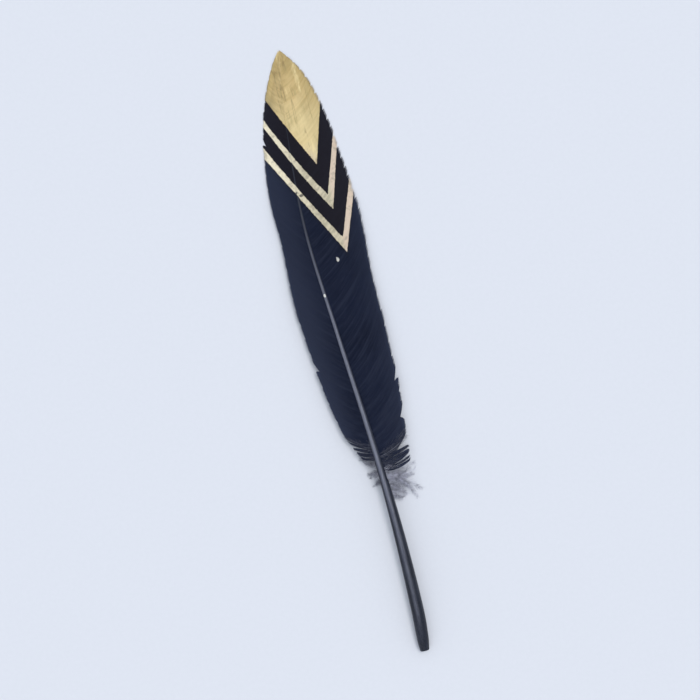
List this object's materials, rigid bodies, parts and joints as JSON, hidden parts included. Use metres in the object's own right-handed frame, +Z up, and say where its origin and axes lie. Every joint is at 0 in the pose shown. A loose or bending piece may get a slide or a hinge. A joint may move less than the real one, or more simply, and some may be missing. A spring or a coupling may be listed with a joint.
{
  "type": "goose quill feather",
  "caption": "Dyed goose wing feather with a bare quill, a narrow and a wide vane, loose down at their foot and a painted tip with chevrons, lying flat.",
  "frame": {"origin": "on the table, at the middle of the feather's length and width", "axes": "+Y from the quill end to the tip, +X towards the wide vane, +Z up from the table"},
  "size_m": [0.0246, 0.17, 0.0051],
  "materials": {
    "barbs": "black dyed feather barbs with a soft blue sheen, metallic gold paint on the tip and chevrons",
    "quill": "dyed horn, smooth and glossy"
  },
  "bodies": {
    "root": {"feather": "barbs"}
  },
  "joints": []
}
